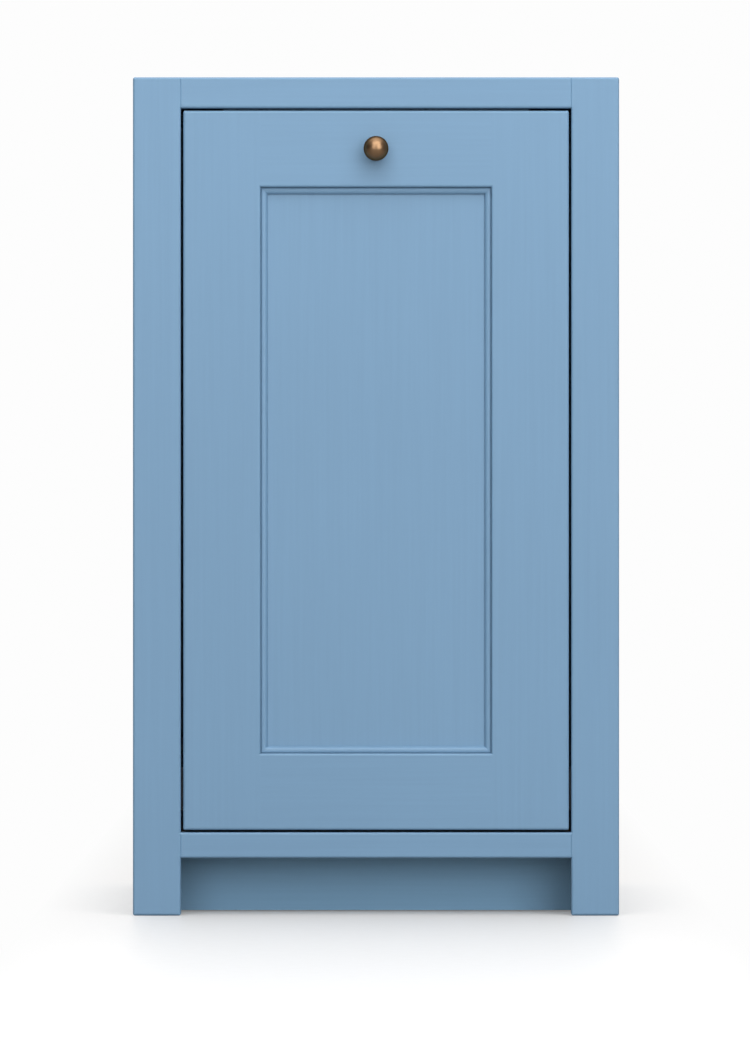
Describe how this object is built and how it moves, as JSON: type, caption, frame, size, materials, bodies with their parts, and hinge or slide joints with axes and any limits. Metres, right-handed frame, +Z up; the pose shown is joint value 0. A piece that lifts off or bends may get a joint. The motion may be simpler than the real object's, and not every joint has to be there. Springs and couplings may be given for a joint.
{
  "type": "trash can cabinet",
  "caption": "Painted base cabinet whose inset framed front pulls out on ball-bearing slides with a dovetailed tray of lift-out waste bins; ball knob and toe kick.",
  "frame": {"origin": "on the floor, at the centre of the box round the closed cabinet with its knob", "axes": "+Z up; the front faces -Y; +X to the right of someone who faces the front"},
  "size_m": [0.508, 0.641, 0.876],
  "materials": {
    "paint": "satin paint on wood",
    "plywood": "clear varnish",
    "hardwood": "clear varnish",
    "zinc": "zinc plated",
    "spring_steel": "bright rolled",
    "ball_steel": "polished",
    "bronze": "antique dark bronze",
    "rubber": "matt",
    "bin_plastic": "fine moulded grain"
  },
  "bodies": {
    "cabinet": {"frame_stile_left": "paint", "frame_stile_right": "paint", "frame_top_rail": "paint", "frame_bottom_rail": "paint", "side_panel_left": "paint", "side_panel_right": "paint", "cabinet_floor": "plywood", "back_panel": "plywood", "stretcher_front": "plywood", "stretcher_back": "plywood", "dust_panel": "plywood", "anchor_rail": "hardwood", "toe_kick": "paint", "toe_kick_blocks": "hardwood", "slide_packer_left": "hardwood", "slide_packer_right": "hardwood", "packer_screws": "zinc", "slide_outer_left": "zinc", "slide_outer_right": "zinc", "slide_cabinet_screws": "zinc", "slide_buffers": "rubber", "door_stop": "hardwood", "bumper_pads": "rubber"},
    "pullout": {"front_stile_left": "paint", "front_stile_right": "paint", "front_top_rail": "paint", "front_bottom_rail": "paint", "front_panel": "paint", "bead_top": "paint", "bead_bottom": "paint", "bead_left": "paint", "bead_right": "paint", "knob": "bronze", "knob_screw": "zinc", "tray_front": "hardwood", "tray_back": "hardwood", "tray_side_left": "hardwood", "tray_side_right": "hardwood", "tray_bottom": "plywood", "tray_divider": "plywood", "tray_front_screws": "zinc", "brace_left": "zinc", "brace_right": "zinc", "brace_screws": "zinc", "slide_inner_left": "zinc", "slide_inner_right": "zinc", "slide_tray_screws": "zinc"},
    "slide_middle": {"slide_middle_left": "zinc", "slide_middle_right": "zinc"},
    "retainers_outer": {"ball_retainers_outer": "spring_steel", "balls_outer": "ball_steel"},
    "retainers_inner": {"ball_retainers_inner": "spring_steel", "balls_inner": "ball_steel"},
    "bin_front": {"bin_front": "bin_plastic"},
    "bin_rear": {"bin_rear": "bin_plastic"}
  },
  "joints": [
    {"name": "pullout_slide", "type": "slide", "parent": "cabinet", "child": "pullout", "axis": [0, -1, 0], "range_m": [0, 0.55]},
    {"name": "middle_slide", "type": "slide", "parent": "cabinet", "child": "slide_middle", "axis": [0, -1, 0], "range_m": [0, 0.276]},
    {"name": "outer_retainer_slide", "type": "slide", "parent": "cabinet", "child": "retainers_outer", "axis": [0, -1, 0], "range_m": [0, 0.138]},
    {"name": "inner_retainer_slide", "type": "slide", "parent": "cabinet", "child": "retainers_inner", "axis": [0, -1, 0], "range_m": [0, 0.413]},
    {"name": "bin_front_lift", "type": "slide", "parent": "pullout", "child": "bin_front", "axis": [0, 0, 1], "range_m": [0, 0.28]},
    {"name": "bin_rear_lift", "type": "slide", "parent": "pullout", "child": "bin_rear", "axis": [0, 0, 1], "range_m": [0, 0.28]}
  ],
  "couplings": [
    {"joint": "middle_slide", "follows": "pullout_slide", "ratio": 0.5},
    {"joint": "outer_retainer_slide", "follows": "pullout_slide", "ratio": 0.25},
    {"joint": "inner_retainer_slide", "follows": "pullout_slide", "ratio": 0.75}
  ]
}
